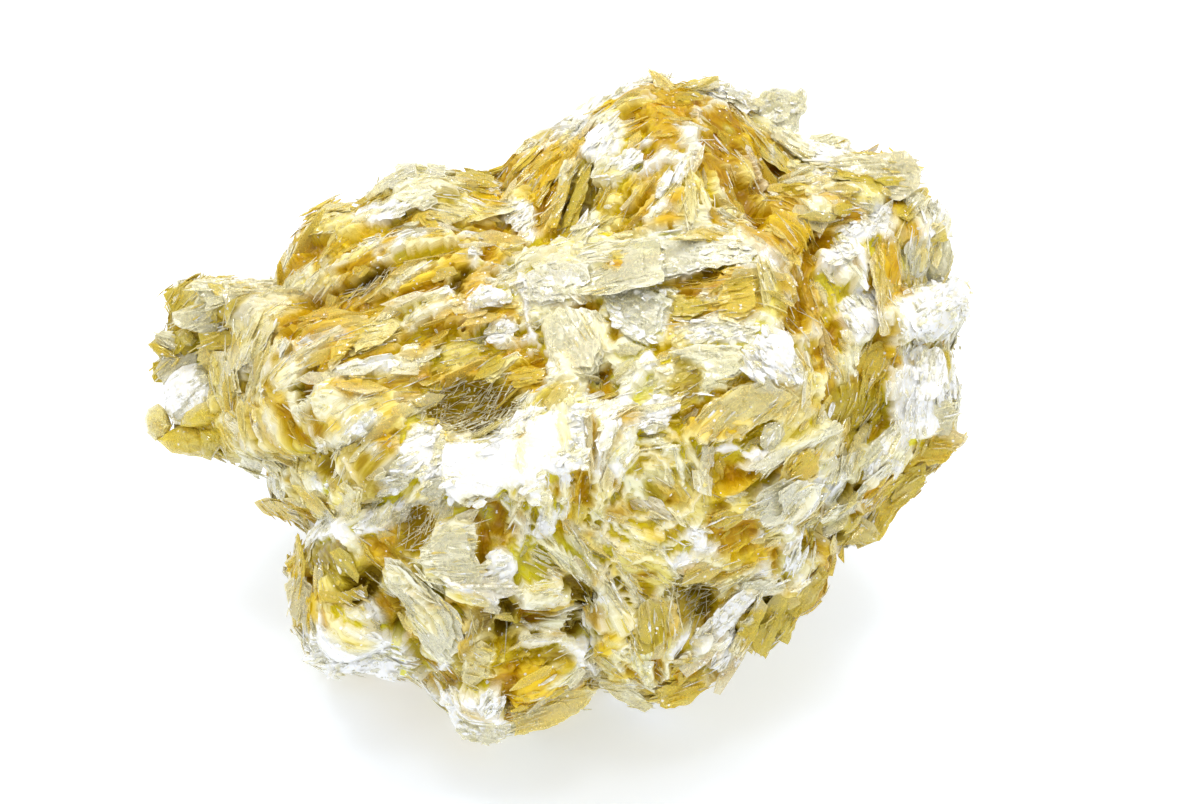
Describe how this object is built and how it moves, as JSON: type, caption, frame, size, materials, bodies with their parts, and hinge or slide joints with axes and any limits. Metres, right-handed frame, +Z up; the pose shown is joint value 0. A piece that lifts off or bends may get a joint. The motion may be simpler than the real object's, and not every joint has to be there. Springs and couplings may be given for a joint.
{
  "type": "mica crystal cluster",
  "caption": "Loose hand specimen of golden muscovite mica: fans, rosettes and shingles of thin pearly sheets grown together into one lump.",
  "frame": {"origin": "middle of the specimen's box in X and Y, on the surface that it rests on", "axes": "+X to the right seen from the show side, along the longest side; +Y away from the show side; +Z up, the shortest side"},
  "size_m": [0.0854, 0.0788, 0.0582],
  "materials": {
    "mica": "pearly thin sheets, cream and gold, saturated amber in the crevices, white where the sheets lie flat"
  },
  "bodies": {
    "root": {"mica_cluster": "mica"}
  },
  "joints": []
}
